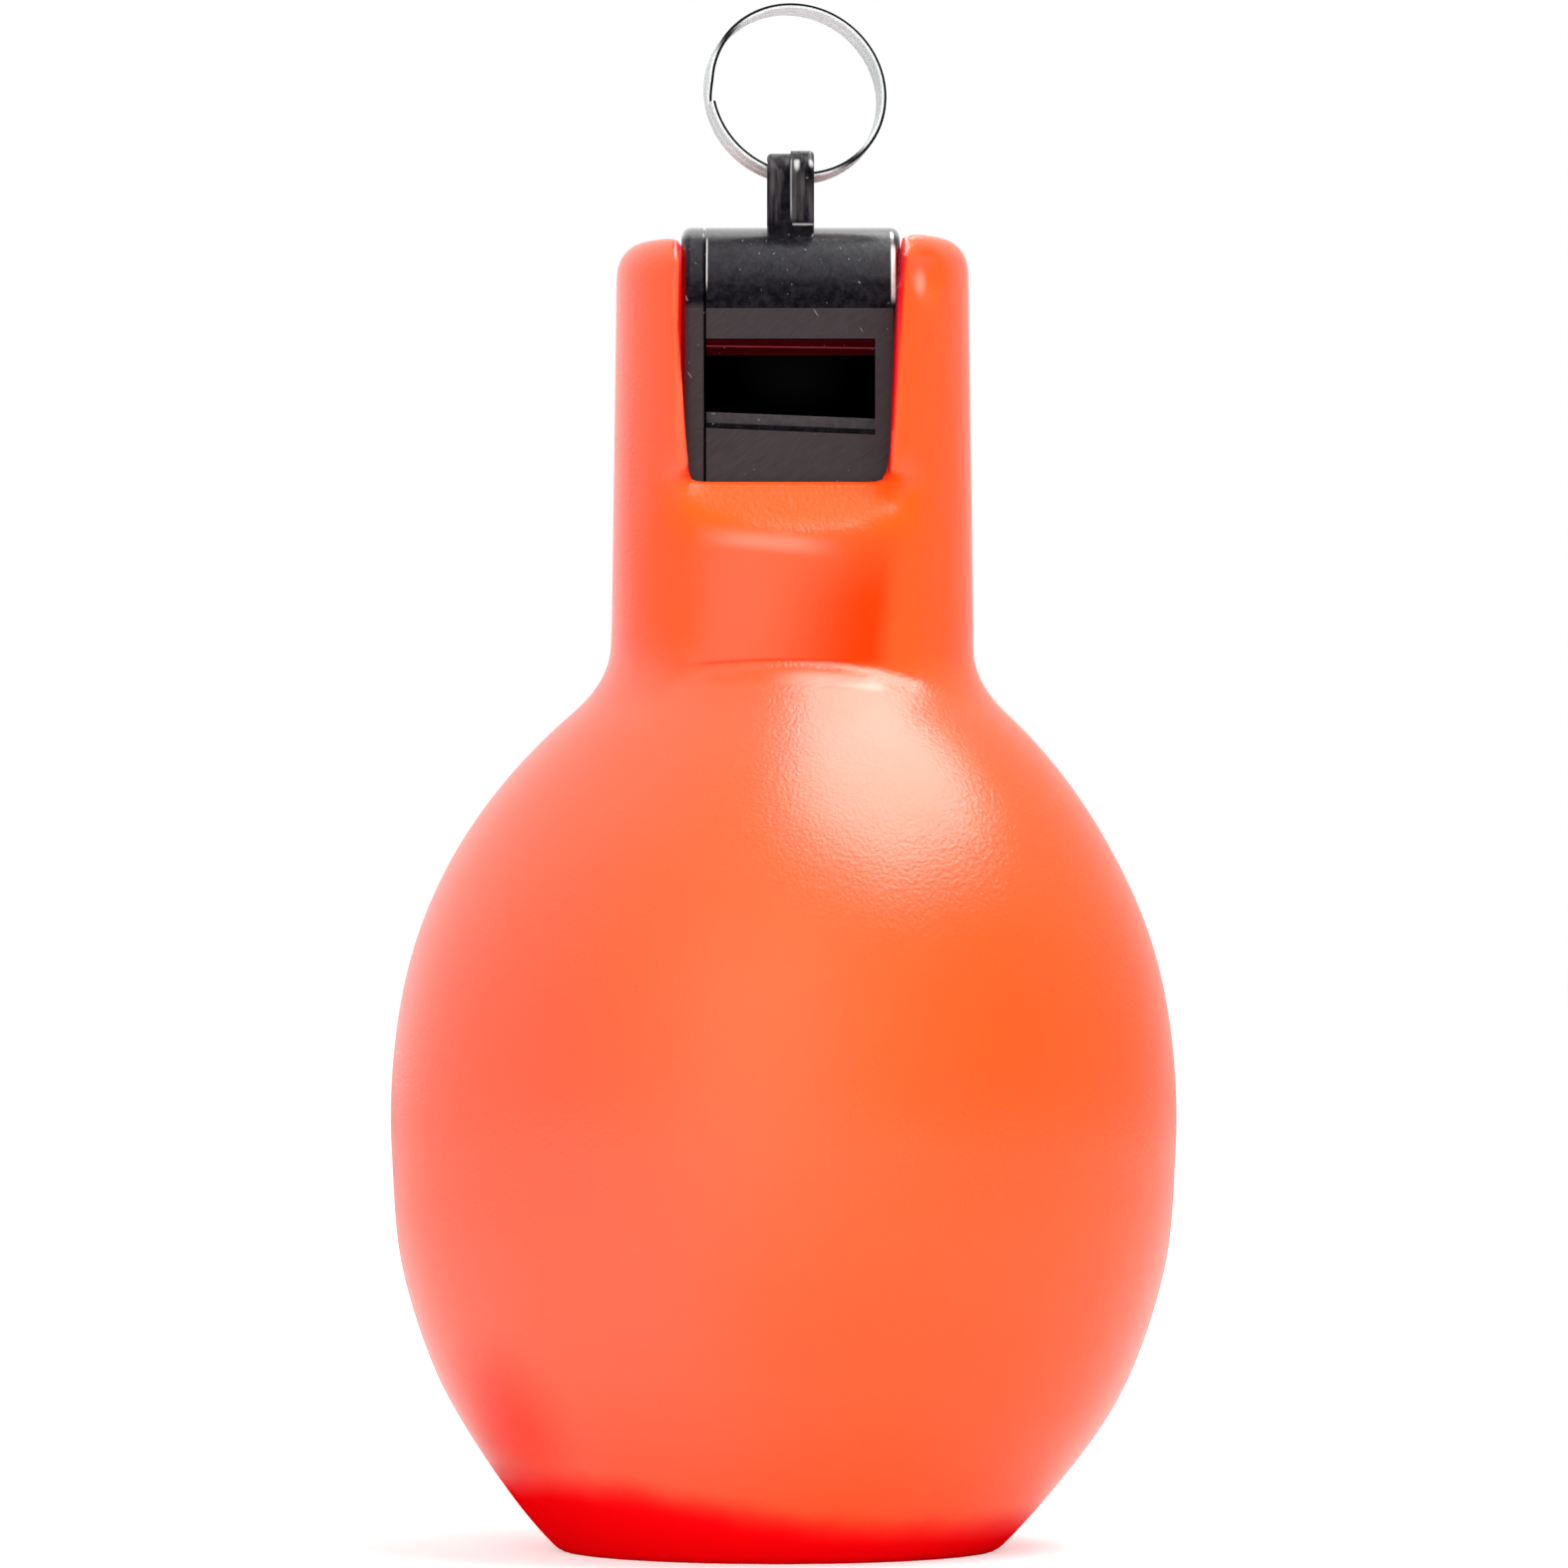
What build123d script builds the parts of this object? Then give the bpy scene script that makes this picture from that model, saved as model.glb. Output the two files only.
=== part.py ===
from build123d import *
from math import acos, asin, cos, degrees, radians, sin, sqrt, tan
import os

os.makedirs("parts", exist_ok=True)

# A squeeze whistle: a soft bulb with a moulded neck, a pea whistle pushed mouth-down
# into the neck, and a split ring on the whistle's lug.  Millimetres, +Z up, the origin
# in the middle of the foot, the sound window towards -Y.

# ---- squeeze bulb ---------------------------------------------------------------
ball_radius = 37.5
ball_middle_height = 41.5      # widest ring above the foot
crown_round = 51.3             # arc from the widest ring up to the neck
flank_round = 65.0             # arc from the widest ring down
flank_angle = 17.0             # degrees of the flank's arc
foot_round = 53.0              # arc from the flank down to the foot
ball_wall = 2.4
floor_thickness = 3.0
ceiling_drop = 0.25            # the air space ends this far below the neck's foot
foot_edge_round = 0.8
neck_foot_radius = 17.35       # the neck tapers a little towards its rim
neck_rim_radius = 16.75
neck_rim_height = 125.2
neck_rim_round = 3.2
shoulder_round = 9.0
panel_front = 15.2             # middle of the neck's flattened front, from the axis
panel_bow_radius = 44.0
crease_lift = 1.0              # the flat front ends this far above the ball

# ---- slot and scoop in the front of the neck --------------------------------------
slot_depth = 23.0              # from the rim of the neck down to the slot's floor
slot_floor_width = 18.8
slot_rim_width = 21.4
scoop_slope = 1.15             # drop over run, below the slot's floor
scoop_width = 26.0
scoop_shoulder_drop = 1.4

# ---- whistle ----------------------------------------------------------------------
whistle_width = 20.8
whistle_length = 50.0
barrel_radius = 10.25
barrel_wall = 1.85
whistle_rise = 0.95            # the barrel stands this much out of the neck
face_set_in = 0.2              # the flat face lies this far inside the barrel's round
side_wall = 2.4
mouthpiece_depth = 8.0
mouthpiece_corner = 3.0
outer_edge_round = 0.9
pocket_fit = 0.1               # clearance of the whistle in its pocket

# ---- sound window and windway ------------------------------------------------------
window_top_drop = 0.7          # outer edge of the bevelled lip, below the barrel's axis
window_foot_drop = 9.5         # upper edge of the front wall, below the barrel's axis
bevel_slope = 0.81             # drop over depth of the bevelled lip
block_tip_drop = 7.9           # tip of the windway block, below the barrel's axis
windway_slant = 2.3            # degrees, both these edges fall towards the right
front_wall = 1.2
windway_exit_gap = 1.3
windway_mouth_gap = 2.6

# ---- side cap and pea --------------------------------------------------------------
cap_thickness = 2.2
cap_spigot_height = 0.8
cap_spigot_fit = 0.06
seam_chamfer = 0.15
pea_radius = 5.5
pea_fit = 0.3

# ---- lug ---------------------------------------------------------------------------
lug_thickness = 4.5
lug_depth = 8.0
lug_rise = 7.25                # top of the lug above the barrel
lug_corner = 2.5
lug_edge_round = 0.45
lug_step = 0.25                # the right half stands this much prouder than the left
eye_width = 6.2
eye_height = 4.6
eye_top_wall = 0.85
eye_corner = 0.8

# ---- split ring ----------------------------------------------------------------------
ring_outer_radius = 8.75
strip_thickness = 0.5
strip_width = 1.2
turn_gap = 0.05
step_angle = 16.0              # degrees over which the strip steps from turn to turn
ring_yaw = 14.0                # degrees, the ring's axis turned about the vertical
ring_lean = 15.0               # degrees, the ring leans back
ring_shift = 1.0               # along the swing axis, towards +X
ring_end_angle = 187.0         # degrees round the ring, where the strip ends lie
swing_drop = 2.5               # swing axis below the top of the lug

# ---- worked out from the sizes above ---------------------------------------------------
right_side = whistle_width / 2
left_side = -whistle_width / 2
cap_inner_side = left_side + cap_thickness
chamber_right_side = right_side - side_wall
chamber_radius = barrel_radius - barrel_wall
face = -(barrel_radius - face_set_in)
barrel_axis_height = neck_rim_height + whistle_rise - barrel_radius
barrel_top_height = barrel_axis_height + barrel_radius
mouth_height = barrel_top_height - whistle_length
lug_top_height = barrel_top_height + lug_rise
slot_floor_height = neck_rim_height - slot_depth
window_foot_height = barrel_axis_height - window_foot_drop
block_tip_height = barrel_axis_height - block_tip_drop
neck_angle = acos((neck_foot_radius - ball_radius + crown_round) / crown_round)
neck_foot_height = ball_middle_height + crown_round * sin(neck_angle)
ceiling_height = neck_foot_height - ceiling_drop
past = 2.0                     # how far cutting shapes run past what they cut


def ball_arcs(wall, floor_height, upper_angle):
    """Right-hand outline of the ball, wall inside its skin: three tangent arcs from floor to neck."""
    flank_x = ball_radius - flank_round
    foot_x = flank_x + (flank_round - foot_round) * cos(radians(flank_angle))
    foot_z = ball_middle_height - (flank_round - foot_round) * sin(radians(flank_angle))
    floor_angle = degrees(asin((floor_height - foot_z) / (foot_round - wall)))
    foot = CenterArc((foot_x, foot_z), foot_round - wall, floor_angle, -flank_angle - floor_angle)
    flank = CenterArc((flank_x, ball_middle_height), flank_round - wall, -flank_angle, flank_angle)
    crown_middle = (ball_radius - crown_round, ball_middle_height)
    crown = CenterArc(crown_middle, crown_round - wall, 0, upper_angle)
    return foot, flank, crown


def turned(arcs, *corners):
    """Solid turned round the vertical axis from arcs and the corners that close their outline."""
    edges = list(arcs)
    for start, end in zip([edges[-1] @ 1, *corners], [*corners, edges[0] @ 0]):
        edges.append(Line(start, end))
    return revolve(Plane.XZ * make_face(edges), Axis.Z)


def whistle_outline(grow=0.0):
    """Side view of the whistle, in the YZ plane: barrel, flat face and mouthpiece."""
    barrel = Pos(0, barrel_axis_height) * Circle(barrel_radius + grow)
    rear = face + mouthpiece_depth + grow
    front = face - grow
    foot = mouth_height - grow
    mouthpiece = Pos((front + rear) / 2, (barrel_axis_height + foot) / 2)
    mouthpiece *= Rectangle(rear - front, barrel_axis_height - foot)
    outline = barrel + mouthpiece
    corner = (rear, barrel_axis_height - sqrt((barrel_radius + grow) ** 2 - rear ** 2))
    inner_corner = outline.vertices().sort_by_distance(corner)[0]
    outline = fillet(inner_corner, mouthpiece_corner)
    beyond_face = Pos(front - barrel_radius, barrel_axis_height)
    beyond_face *= Rectangle(2 * barrel_radius, 4 * barrel_radius)
    return outline - beyond_face


def across(outline, left, right):
    """Solid of a side-view outline between two planes across the whistle."""
    return Pos(left, 0, 0) * extrude(Plane.YZ * outline, right - left)


def ball_skin():
    """Outside of the bulb before the front is flattened: egg, neck and the round between them."""
    arcs = ball_arcs(0, 0, degrees(neck_angle))
    skin = turned(arcs, (neck_rim_radius, neck_rim_height), (0, neck_rim_height), (0, 0))
    skin = fillet(rings(skin)[-1], neck_rim_round)
    crease = min(rings(skin), key=lambda ring: abs(ring.center().Z - neck_foot_height))
    skin = fillet(crease, shoulder_round)
    return fillet(rings(skin)[0], foot_edge_round)


def rings(solid):
    """Edges that run all the way round, from the lowest up."""
    return solid.edges().filter_by(lambda edge: edge.is_closed).sort_by(Axis.Z)


def panel_cut():
    """What is taken off the neck to flatten its front, down to a cone that lies on the ball."""
    beyond = Pos(0, -2 * neck_foot_radius - panel_front + past)
    beyond *= Rectangle(4 * neck_foot_radius, 4 * neck_foot_radius)
    beyond -= Pos(0, panel_bow_radius - panel_front) * Circle(panel_bow_radius)
    block = extrude(beyond, neck_rim_height + past - ball_middle_height)
    slope = 1 / tan(neck_angle)
    cone_height = neck_foot_height - ball_middle_height + slope * neck_foot_radius + crease_lift
    cone = Cone(cone_height / slope, 0, cone_height, align=(Align.CENTER, Align.CENTER, Align.MIN))
    return Pos(0, 0, ball_middle_height) * (block - cone)


def squeeze_bulb():
    """Soft moulded bulb: hollow ball, flattened neck, pocket for the whistle, slot and scoop."""
    ceiling_angle = asin((ceiling_height - ball_middle_height) / (crown_round - ball_wall))
    arcs = ball_arcs(ball_wall, floor_thickness, degrees(ceiling_angle))
    inside = turned(arcs, (0, ceiling_height), (0, floor_thickness))
    pocket_side = whistle_width / 2 + pocket_fit
    pocket = across(whistle_outline(pocket_fit), -pocket_side, pocket_side)
    drop_in = Box(
        2 * pocket_side,
        2 * (barrel_radius + pocket_fit),
        neck_rim_height + past - barrel_axis_height,
        align=(Align.CENTER, Align.CENTER, Align.MIN),
    )
    drop_in = Pos(0, 0, barrel_axis_height) * drop_in
    return ball_skin() - panel_cut() - inside - (pocket + drop_in) - slot_and_scoop()


def slot_and_scoop():
    """Cutter for the open front: the slot's width seen from the front, the scoop from the side."""
    back = face - pocket_fit
    top = neck_rim_height + past
    reach = 2 * neck_foot_radius
    side_view = make_face(
        Polyline(
            (back, top),
            (back, slot_floor_height),
            (back - reach, slot_floor_height - scoop_slope * reach),
            (back - reach, top),
            close=True,
        )
    )
    scoop_top = slot_floor_height - scoop_shoulder_drop
    half_view = [
        (slot_rim_width / 2, top),
        (slot_floor_width / 2, slot_floor_height),
        (scoop_width / 2, scoop_top),
        (scoop_width / 2, scoop_top - reach),
    ]
    mirrored = [(-x, z) for x, z in reversed(half_view)]
    front_view = make_face(Polyline(*half_view, *mirrored, close=True))
    from_side = across(side_view, -reach, reach)
    from_front = extrude(Plane.XZ * front_view, 2 * reach)
    return from_side & from_front


def sound_passages():
    """What is hollow in the whistle: chamber, window and windway, up to the inside of its right wall."""
    chamber = Pos(0, barrel_axis_height) * Circle(chamber_radius)
    roof = face + front_wall
    exit_floor = roof + windway_exit_gap
    mouth_floor = roof + windway_mouth_gap
    in_front = face - past
    bevel_inside = face + barrel_wall + past
    lip_height = barrel_axis_height - window_top_drop
    window_middle = (window_foot_height + lip_height) / 2
    upper_window = Polyline(
        (in_front, window_middle),
        (in_front, lip_height + bevel_slope * past),
        (bevel_inside, lip_height - bevel_slope * (bevel_inside - face)),
        (0, barrel_axis_height),
        (bevel_inside, window_middle),
        close=True,
    )
    lower_window = Polyline(
        (in_front, 0),
        (in_front, window_middle + past / 2 - window_foot_height),
        (0, window_middle + past / 2 - window_foot_height),
        (0, block_tip_height - window_foot_height),
        (exit_floor, block_tip_height - window_foot_height),
        (mouth_floor, mouth_height - past - window_foot_height),
        (roof, mouth_height - past - window_foot_height),
        (roof, 0),
        close=True,
    )
    left = cap_inner_side - past
    level = across(chamber + make_face(upper_window), left, chamber_right_side)
    slanted = across(make_face(lower_window), 2 * left, 2 * chamber_right_side)
    slanted = Pos(0, 0, window_foot_height) * Rot(0, windway_slant, 0) * slanted
    return level + (slanted & across(whistle_outline(past), left, chamber_right_side))


def whistle_body():
    """Whistle moulding: barrel, right wall, windway block, mouthpiece and lug in one piece."""
    shell = across(whistle_outline(), cap_inner_side, right_side)
    outer_edges = shell.faces().sort_by(Axis.X)[-1].edges()
    shell = fillet(outer_edges, outer_edge_round)
    seam_edges = shell.faces().sort_by(Axis.X)[0].edges()
    shell = chamfer(seam_edges, seam_chamfer)
    return shell + lug() - sound_passages() - eye()


def lug():
    """Loop on top of the barrel, moulded in two halves of which the right one is prouder."""
    half = lug_thickness / 2
    left = lug_block(lug_depth - 2 * lug_step, lug_top_height - lug_step, -half, 0)
    right = lug_block(lug_depth, lug_top_height, 0, half)
    slim_foot = lug_block(lug_depth - 2 * lug_step, lug_top_height - lug_step, 0, half)
    cut = Box(
        2 * lug_thickness,
        2 * lug_depth,
        barrel_radius + lug_step,
        align=(Align.CENTER, Align.CENTER, Align.MIN),
    )
    return left + (right - Pos(0, 0, barrel_axis_height) * cut) + slim_foot


def lug_block(depth, top, left, right):
    """One half of the lug, rounded over the top, from the barrel's wall upwards."""
    foot = barrel_axis_height + chamber_radius + barrel_wall / 2
    outline = Pos(0, (foot + top) / 2) * Rectangle(depth, top - foot)
    outline = fillet(outline.vertices().group_by(Axis.Y)[-1], lug_corner)
    block = across(outline, left, right)
    outside = Axis.X if right > 0 else -Axis.X
    side_edges = block.faces().sort_by(outside)[-1].edges()
    above_foot = side_edges.filter_by_position(Axis.Z, foot + past, top + past)
    return fillet(above_foot, lug_edge_round)


def eye():
    """Opening through the lug for the ring."""
    top = lug_top_height - eye_top_wall
    outline = Pos(0, top - eye_height / 2) * RectangleRounded(eye_width, eye_height, eye_corner)
    return across(outline, -lug_thickness, lug_thickness)


def side_cap():
    """Plate that closes the left side, glued on once the pea is in, with a spigot in the barrel."""
    plate = across(whistle_outline(), left_side, cap_inner_side)
    outer_edges = plate.faces().sort_by(Axis.X)[0].edges()
    plate = fillet(outer_edges, outer_edge_round)
    seam_edges = plate.faces().sort_by(Axis.X)[-1].edges()
    plate = chamfer(seam_edges, seam_chamfer)
    disc = Pos(0, barrel_axis_height) * Circle(chamber_radius - cap_spigot_fit)
    return plate + across(disc, cap_inner_side - cap_thickness / 2, cap_inner_side + cap_spigot_height)


def pea():
    """Ball that rolls round the barrel, shown at its lowest place."""
    middle = (cap_inner_side + cap_spigot_height + chamber_right_side) / 2
    orbit = chamber_radius - pea_radius - pea_fit
    return Pos(middle, 0, barrel_axis_height - orbit) * Sphere(pea_radius)


def split_ring():
    """Flat spring strip in two turns with a step between them, through the eye and leaning back."""
    middle_radius = ring_outer_radius - strip_thickness / 2
    pitch = strip_width + turn_gap
    section = Plane.XZ * Pos(middle_radius, 0) * Rectangle(strip_thickness, strip_width)
    turn = revolve(section, Axis.Z, 360 - step_angle)
    climb = Helix(pitch * 360 / step_angle, pitch, middle_radius)
    step = sweep(section, climb, normal=(0, 0, 1))
    strip = turn + Rot(0, 0, -step_angle) * step + Pos(0, 0, pitch) * turn
    strip = Pos(0, 0, -pitch / 2) * strip
    upright = Rot(90, 0, 0) * Rot(0, 0, ring_end_angle) * strip
    on_axis = Pos(ring_shift, 0, middle_radius) * upright
    leaning = Rot(0, 0, ring_yaw) * Rot(-ring_lean, 0, 0) * on_axis
    return Pos(0, 0, lug_top_height - swing_drop) * leaning


for name, make in (
    ("squeeze_bulb", squeeze_bulb),
    ("whistle_body", whistle_body),
    ("side_cap", side_cap),
    ("pea", pea),
    ("split_ring", split_ring),
):
    export_step(make(), f"parts/{name}.step")
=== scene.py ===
import bpy
import numpy as np
from math import acos, asin, atan2, cos, pi, radians, sin, sqrt, tan
from mathutils import Euler, Matrix, Vector


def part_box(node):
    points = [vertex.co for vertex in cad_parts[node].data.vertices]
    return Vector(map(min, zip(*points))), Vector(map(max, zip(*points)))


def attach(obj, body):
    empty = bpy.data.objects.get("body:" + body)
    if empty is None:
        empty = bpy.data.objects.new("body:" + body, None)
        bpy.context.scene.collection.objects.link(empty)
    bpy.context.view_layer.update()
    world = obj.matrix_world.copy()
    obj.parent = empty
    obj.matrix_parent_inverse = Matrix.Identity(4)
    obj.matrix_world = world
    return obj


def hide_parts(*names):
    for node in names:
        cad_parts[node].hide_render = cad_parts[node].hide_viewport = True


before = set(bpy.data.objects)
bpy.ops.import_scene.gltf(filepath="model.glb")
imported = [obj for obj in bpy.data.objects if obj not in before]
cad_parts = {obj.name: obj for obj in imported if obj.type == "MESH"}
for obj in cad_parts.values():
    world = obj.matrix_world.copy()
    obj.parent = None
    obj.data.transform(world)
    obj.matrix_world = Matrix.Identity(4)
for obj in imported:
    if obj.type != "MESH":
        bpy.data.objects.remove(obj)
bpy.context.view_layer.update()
mm = 0.001
scene = bpy.context.scene


# ---- view -----------------------------------------------------------------------------
# A long lens a metre in front of the whistle, level with the middle of its height and a
# little to the left, so that its outline shows with almost no perspective.

view_distance = 1050 * mm
view_height = 73.05 * mm
view_width = 149.7 * mm
view_aside = -0.62 * mm
sensor_width = 36

bpy.ops.object.select_all(action="DESELECT")
bpy.ops.object.camera_add(location=(view_aside, -view_distance, view_height))
camera = bpy.context.object
camera.name = "camera"
camera.rotation_euler = (radians(90), 0, 0)
camera.data.sensor_width = sensor_width
camera.data.lens = sensor_width * view_distance / view_width
camera.data.clip_start = 0.05
camera.data.clip_end = 30
scene.camera = camera
scene.view_settings.view_transform = "Standard"


# ---- squeeze bulb ---------------------------------------------------------------------
# Soft PVC, moulded hollow in one piece: an egg with a flat foot and a neck, whose open
# front shows the whistle.  The moulding is thick at the neck and its lips are rounded.

_, bulb_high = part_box("squeeze_bulb")
ball_radius = bulb_high.x
rim_height = bulb_high.z
ball_middle = 41.5 * mm
crown_round = 51.3 * mm
flank_round = 65 * mm
flank_angle = radians(17)
foot_round = 53 * mm
ball_wall = 2.4 * mm
floor_height = 3 * mm
ceiling_height = 82 * mm
neck_foot_radius = 17.35 * mm
neck_rim_radius = 16.75 * mm
rim_round = 3.2 * mm
shoulder_round = 9 * mm
lathe_steps = 192
arc_steps = 40
corner_steps = 12
past = 2 * mm


def arc(middle, radius, start, end, steps=arc_steps):
    """Points (across, up) along an arc, both ends included."""
    angles = np.linspace(start, end, steps + 1)
    return [(middle[0] + radius * cos(a), middle[1] + radius * sin(a)) for a in angles]


def turn(name, outline):
    """A half outline in the XZ plane, from the axis round to the axis, spun into a solid."""
    bpy.ops.object.select_all(action="DESELECT")
    bpy.ops.mesh.primitive_plane_add(size=mm)
    piece = bpy.context.object
    piece.name = name
    bpy.ops.object.mode_set(mode="EDIT")
    bpy.ops.mesh.merge(type="CENTER")
    bpy.ops.transform.translate(value=(outline[0][0], 0, outline[0][1]))
    for (x0, z0), (x1, z1) in zip(outline, outline[1:]):
        move = {"value": (x1 - x0, 0, z1 - z0)}
        bpy.ops.mesh.extrude_vertices_move(TRANSFORM_OT_translate=move)
    bpy.ops.mesh.select_all(action="SELECT")
    bpy.ops.mesh.spin(steps=lathe_steps, angle=2 * pi, center=(0, 0, 0), axis=(0, 0, 1))
    bpy.ops.mesh.select_all(action="SELECT")
    bpy.ops.mesh.remove_doubles(threshold=0.001 * mm)
    bpy.ops.mesh.normals_make_consistent(inside=False)
    bpy.ops.object.mode_set(mode="OBJECT")
    return piece


def prism(name, outline, low, high, along):
    """A closed outline made solid between low and high along X, Y or Z."""
    bpy.ops.object.select_all(action="DESELECT")
    bpy.ops.mesh.primitive_circle_add(vertices=len(outline), radius=mm, fill_type="NGON")
    piece = bpy.context.object
    piece.name = name
    order = {"X": (2, 0, 1), "Y": (0, 2, 1), "Z": (0, 1, 2)}[along]
    for vertex, point in zip(piece.data.vertices, outline):
        vertex.co = [(*point, low)[i] for i in order]
    move = [0, 0, 0]
    move["XYZ".index(along)] = high - low
    bpy.ops.object.mode_set(mode="EDIT")
    bpy.ops.mesh.select_all(action="SELECT")
    bpy.ops.mesh.extrude_region_move(TRANSFORM_OT_translate={"value": move})
    bpy.ops.mesh.select_all(action="SELECT")
    bpy.ops.mesh.normals_make_consistent(inside=False)
    bpy.ops.object.mode_set(mode="OBJECT")
    return piece


def modify(piece, kind, **settings):
    """Adds a modifier and applies it."""
    modifier = piece.modifiers.new(kind, kind)
    for name, value in settings.items():
        setattr(modifier, name, value)
    bpy.context.view_layer.objects.active = piece
    bpy.ops.object.modifier_apply(modifier=modifier.name)


def combine(piece, other, operation):
    """Cuts other from piece or keeps what they share, and removes other."""
    modify(piece, "BOOLEAN", object=other, operation=operation, solver="EXACT")
    bpy.data.objects.remove(other)


def ball_outline(wall, floor):
    """Half outline of the ball, wall inside its skin, from the floor up to the widest ring."""
    flank_x = ball_radius - flank_round
    foot_x = flank_x + (flank_round - foot_round) * cos(flank_angle)
    foot_z = ball_middle - (flank_round - foot_round) * sin(flank_angle)
    floor_angle = asin((floor - foot_z) / (foot_round - wall))
    foot = arc((foot_x, foot_z), foot_round - wall, floor_angle, -flank_angle)
    flank = arc((flank_x, ball_middle), flank_round - wall, -flank_angle, 0)
    return foot + flank[1:]


crown_x = ball_radius - crown_round
neck_angle = acos((neck_foot_radius - crown_x) / crown_round)
neck_foot = ball_middle + crown_round * sin(neck_angle)
neck_lean = atan2(neck_foot_radius - neck_rim_radius, rim_height - neck_foot)


def skin_outline():
    """Half outline of the outside: foot, flank, crown, round shoulder, neck and rim."""
    # the shoulder's arc touches the crown's arc from outside and the neck's line
    reach = crown_round + shoulder_round
    normal = (cos(neck_lean), sin(neck_lean))
    offset = neck_foot_radius * normal[0] + neck_foot * normal[1] + shoulder_round
    toward = crown_x * normal[0] + ball_middle * normal[1]
    along = sqrt(reach ** 2 - (offset - toward) ** 2)
    middle = (
        crown_x + normal[0] * (offset - toward) - normal[1] * along,
        ball_middle + normal[1] * (offset - toward) + normal[0] * along,
    )
    crown_end = atan2(middle[1] - ball_middle, middle[0] - crown_x)
    crown = arc((crown_x, ball_middle), crown_round, 0, crown_end)
    shoulder = arc(middle, shoulder_round, crown_end - pi, neck_lean - pi, corner_steps)
    rim_x = neck_rim_radius + rim_round * tan(neck_lean) - rim_round * (1 / cos(neck_lean) - 1)
    rim_middle = (rim_x - rim_round, rim_height - rim_round)
    rim = arc(rim_middle, rim_round, neck_lean, pi / 2, corner_steps)
    return ball_outline(0, 0) + crown[1:] + shoulder[1:] + rim


bulb = turn("bulb", [(0, 0)] + skin_outline() + [(0, rim_height)])

# the front of the neck is flattened in a bow, down to a crease just above the ball
panel_front = 15.2 * mm
panel_bow = 44 * mm
panel_start, panel_end = radians(-150), radians(-30)
panel_far = -60 * mm
crease_lift = 0.7 * mm
bow = arc((0, panel_bow - panel_front), panel_bow, panel_start, panel_end)
bow_ends = [(bow[-1][0], panel_far), (bow[0][0], panel_far)]
panel = prism("panel", bow + bow_ends, ball_middle, rim_height + past, "Z")
slope = 1 / tan(neck_angle)
cone_top = neck_foot + slope * neck_foot_radius + crease_lift
cone_low = ball_middle - past
cone_foot = (cone_top - ball_middle + past) / slope
cone = turn("cone", [(0, cone_low), (cone_foot, cone_low), (0, cone_top)])
combine(panel, cone, "DIFFERENCE")
combine(bulb, panel, "DIFFERENCE")

# air space
ceiling_angle = asin((ceiling_height - ball_middle) / (crown_round - ball_wall))
inner_crown = arc((crown_x, ball_middle), crown_round - ball_wall, 0, ceiling_angle)
air = ball_outline(ball_wall, floor_height) + inner_crown[1:]
combine(bulb, turn("air", [(0, floor_height)] + air + [(0, ceiling_height)]), "DIFFERENCE")

# pocket for the whistle, the channel of its mouthpiece, and the way in from above
cap_low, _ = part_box("side_cap")
_, body_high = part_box("whistle_body")
barrel_radius = 10.25 * mm
barrel_rise = 0.95 * mm
barrel_axis = rim_height + barrel_rise - barrel_radius
mouthpiece_depth = 8 * mm
fit = 0.1 * mm
face = cap_low.y
mouth = cap_low.z
side = body_high.x + fit
top = rim_height + past
pocket_radius = barrel_radius + fit
pocket_steps = 72
pocket_front = face - fit
pocket_rear = face + mouthpiece_depth + fit
last_angle = 2 * pi * (pocket_steps - 1) / pocket_steps
pocket_outline = arc((0, barrel_axis), pocket_radius, 0, last_angle, pocket_steps - 1)
channel_outline = [
    (pocket_front, mouth - past),
    (pocket_rear, mouth - past),
    (pocket_rear, barrel_axis),
    (pocket_front, barrel_axis),
]
drop_in_outline = [
    (-pocket_radius, barrel_axis),
    (pocket_radius, barrel_axis),
    (pocket_radius, top),
    (-pocket_radius, top),
]
for name, outline in (
    ("pocket", pocket_outline), ("channel", channel_outline), ("drop_in", drop_in_outline),
):
    combine(bulb, prism(name, outline, -side, side, "X"), "DIFFERENCE")

# slot and scoop in the open front: what is open seen from the side and from the front
slot_floor = 102.2 * mm
scoop_slope = 1.15
scoop_drop = 1.4 * mm
scoop_right = 12.4 * mm
scoop_left = -13.4 * mm
reach = 40 * mm
from_side = prism("from_side", [
    (pocket_front, top),
    (pocket_front, slot_floor),
    (pocket_front - reach, slot_floor - scoop_slope * reach),
    (pocket_front - reach, top),
], -reach, reach, "X")
right_lip = [
    (10.2 * mm, top),
    (10.1 * mm, 123 * mm),
    (9.6 * mm, 117.5 * mm),
    (9.2 * mm, 104 * mm),
    (8.6 * mm, slot_floor),
]
scoop_walls = [
    (scoop_right, slot_floor - scoop_drop),
    (scoop_right, slot_floor - reach),
    (scoop_left, slot_floor - reach),
    (scoop_left, slot_floor - scoop_drop),
]
left_lip = [
    (-9.7 * mm, slot_floor),
    (-10.3 * mm, 109 * mm),
    (-10.8 * mm, 116.5 * mm),
    (-10.6 * mm, top),
]
from_front = prism("from_front", right_lip + scoop_walls + left_lip, -2 * reach, 0, "Y")
combine(from_side, from_front, "INTERSECT")
combine(bulb, from_side, "DIFFERENCE")

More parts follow.
